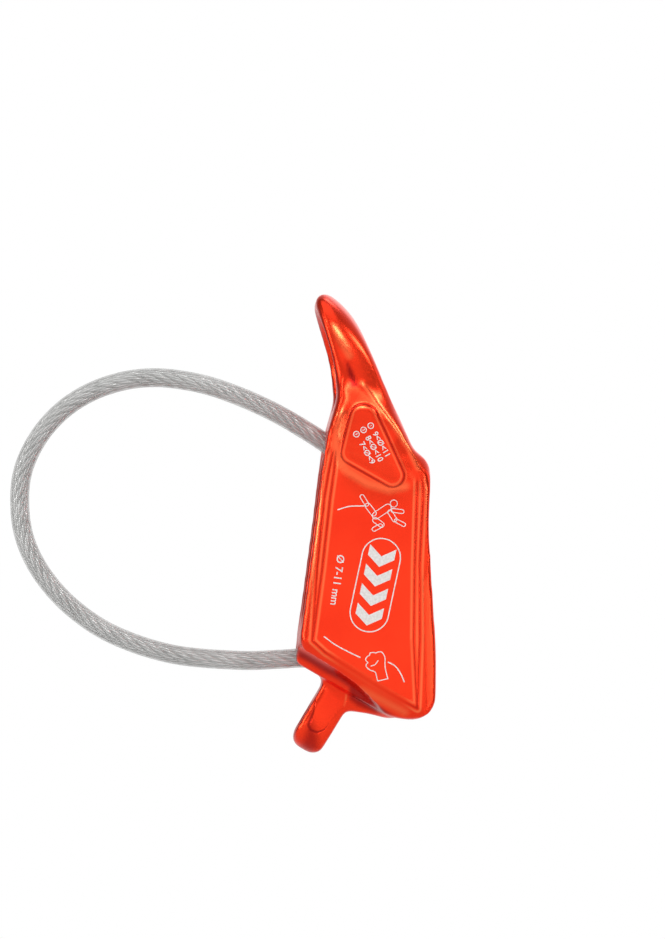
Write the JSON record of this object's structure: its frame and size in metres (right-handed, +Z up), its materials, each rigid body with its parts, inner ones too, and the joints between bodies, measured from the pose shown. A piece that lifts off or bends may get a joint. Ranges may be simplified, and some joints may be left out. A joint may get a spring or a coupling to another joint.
{
  "type": "guide mode belay device",
  "caption": "Guide mode belay device: a forged body with an attachment ear, two rope slots and a release lug, and a captive sheathed wire keeper loop.",
  "frame": {"origin": "centre of the attachment eye, in the mid-plane between the two side plates", "axes": "+Z up along the body as it hangs by its ear, +X towards the brake side of the ropes, Y across the two rope slots; the eye, the slots and the release hole run along +X and 31 degrees downwards"},
  "size_m": [0.0756, 0.035, 0.0821],
  "materials": {
    "anodised_aluminium": "satin, orange-red anodised",
    "galvanised_wire_rope": "galvanised, laid strands",
    "clear_sheath": "clear grey, smooth",
    "crimped_steel": "plain, crimped"
  },
  "bodies": {
    "device": {"forged_body": "anodised_aluminium", "upper_rope_end": "galvanised_wire_rope", "upper_sheath_end": "clear_sheath", "upper_ferrule": "crimped_steel", "lower_rope_end": "galvanised_wire_rope", "lower_sheath_end": "clear_sheath", "lower_ferrule": "crimped_steel"},
    "keeper": {"keeper_loop_rope": "galvanised_wire_rope", "keeper_loop_sheath": "clear_sheath"}
  },
  "joints": [
    {"name": "keeper_swing", "type": "hinge", "parent": "device", "child": "keeper", "pos_m": [-0.005, 0, -0.03035], "axis": [0.0262, 0, 0.9997], "range_deg": [-20, 20], "stiffness_Nm_per_rad": 0.1}
  ]
}
